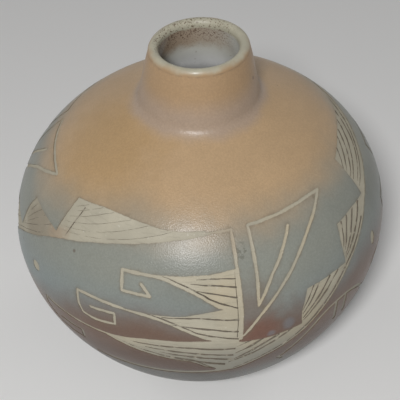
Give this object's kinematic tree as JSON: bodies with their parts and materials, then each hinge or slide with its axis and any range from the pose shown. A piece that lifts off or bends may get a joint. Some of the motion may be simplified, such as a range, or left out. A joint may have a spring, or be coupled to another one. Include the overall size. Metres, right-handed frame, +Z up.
{
  "type": "etched pottery vase",
  "caption": "Round-bellied pottery vase with a short tapered neck, sprayed colour coats and geometric patterns scraped through to pale clay.",
  "frame": {"origin": "centre of the flat foot, on the surface that the vase stands on", "axes": "+Z up through the mouth, +X to the right seen from the front, -Y towards the front view of the pattern"},
  "size_m": [0.1399, 0.1399, 0.1304],
  "materials": {
    "fired_clay": "matte",
    "tan_coat": "satin",
    "green_coat": "satin",
    "brown_coat": "satin",
    "grey_coat": "satin",
    "inside_glaze": "gloss"
  },
  "bodies": {
    "root": {"base_slab": "fired_clay", "lower_bowl": "fired_clay", "upper_dome": "fired_clay", "neck_collar": "fired_clay", "shoulder_coat": "tan_coat", "foot_coat": "grey_coat", "upper_coat_panel_1": "green_coat", "upper_coat_panel_2": "green_coat", "upper_coat_panel_3": "green_coat", "lower_coat_panel_1": "brown_coat", "lower_coat_panel_2": "brown_coat", "lower_coat_panel_3": "brown_coat", "inner_glaze": "inside_glaze"}
  },
  "joints": []
}
